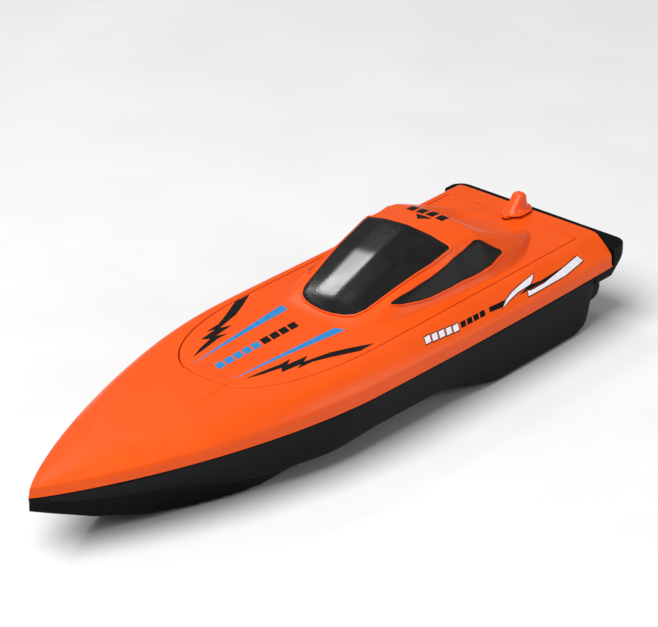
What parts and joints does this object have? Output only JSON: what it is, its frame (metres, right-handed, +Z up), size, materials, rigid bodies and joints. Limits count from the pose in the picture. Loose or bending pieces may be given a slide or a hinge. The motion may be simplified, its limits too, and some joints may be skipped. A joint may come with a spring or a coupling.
{
  "type": "radio-controlled toy speedboat",
  "caption": "Radio-controlled toy speedboat with an orange deck, a lift-off cabin hatch, a turn latch and two propellers under a black stern platform.",
  "frame": {"origin": "under the middle of the boat, on the plane that the hull stands on", "axes": "+X to the bow, +Y to port, +Z up"},
  "size_m": [0.35, 0.1066, 0.0696],
  "materials": {
    "hull_black": "fine satin texture",
    "deck_orange": "satin gloss",
    "latch_orange": "satin gloss",
    "window_gloss": "gloss with a fine grain",
    "window_satin": "satin",
    "seal_foam": "matte foam",
    "screw_steel": "plain",
    "shaft_steel": "ground",
    "turned_brass": "turned",
    "rotor_copper": "enamelled wire",
    "bush_nylon": "natural",
    "can_steel": "drawn",
    "endbell_black": "semi gloss",
    "clamp_steel": "plain",
    "tray_black": "matte",
    "battery_wrap": "shrink film",
    "strap_webbing": "woven loop",
    "plug_red": "semi gloss",
    "board_green": "solder mask",
    "chip_black": "moulded",
    "propeller_black": "semi gloss",
    "switch_black": "matte",
    "foam_white": "closed-cell foam"
  },
  "bodies": {
    "boat": {"hull_lower": "hull_black", "deck": "deck_orange", "hatch_seal": "seal_foam", "stern_tube_port": "turned_brass", "stern_tube_starboard": "turned_brass", "tube_bushes": "bush_nylon", "motor_can_port": "can_steel", "motor_can_starboard": "can_steel", "motor_endbell_port": "endbell_black", "motor_endbell_starboard": "endbell_black", "motor_cradle": "tray_black", "motor_clamp_port": "clamp_steel", "motor_clamp_starboard": "clamp_steel", "clamp_screws": "screw_steel", "equipment_tray": "tray_black", "tray_screws": "screw_steel", "battery_pack": "battery_wrap", "battery_strap": "strap_webbing", "battery_plug": "plug_red", "receiver_board": "board_green", "receiver_chips": "chip_black", "board_screws": "screw_steel", "switch_body": "switch_black", "water_contacts": "turned_brass", "bow_foam": "foam_white"},
    "hatch": {"hatch_cover": "deck_orange", "windshield": "window_gloss", "side_window_port": "window_satin", "side_window_starboard": "window_satin"},
    "latch": {"hatch_latch": "latch_orange", "latch_washer": "screw_steel", "latch_screw": "screw_steel"},
    "port_drive": {"propeller_port": "propeller_black", "prop_shaft_port": "shaft_steel", "coupling_port": "turned_brass", "armature_port": "rotor_copper"},
    "starboard_drive": {"propeller_starboard": "propeller_black", "prop_shaft_starboard": "shaft_steel", "coupling_starboard": "turned_brass", "armature_starboard": "rotor_copper"},
    "power_switch": {"switch_slider": "plug_red"}
  },
  "joints": [
    {"name": "hatch_lift", "type": "slide", "parent": "boat", "child": "hatch", "axis": [0, 0, 1], "range_m": [0, 0.06]},
    {"name": "latch_turn", "type": "hinge", "parent": "boat", "child": "latch", "pos_m": [-0.157, 0, 0.0458], "axis": [0, 0, 1], "range_deg": [0, 90]},
    {"name": "propeller_port_spin", "type": "hinge", "parent": "boat", "child": "port_drive", "pos_m": [-0.163, 0.02, 0.0125], "axis": [1, 0, 0], "continuous": true},
    {"name": "propeller_starboard_spin", "type": "hinge", "parent": "boat", "child": "starboard_drive", "pos_m": [-0.163, -0.02, 0.0125], "axis": [1, 0, 0], "continuous": true},
    {"name": "power_switch_slide", "type": "slide", "parent": "boat", "child": "power_switch", "axis": [1, 0, 0], "range_m": [0, 0.003]}
  ]
}
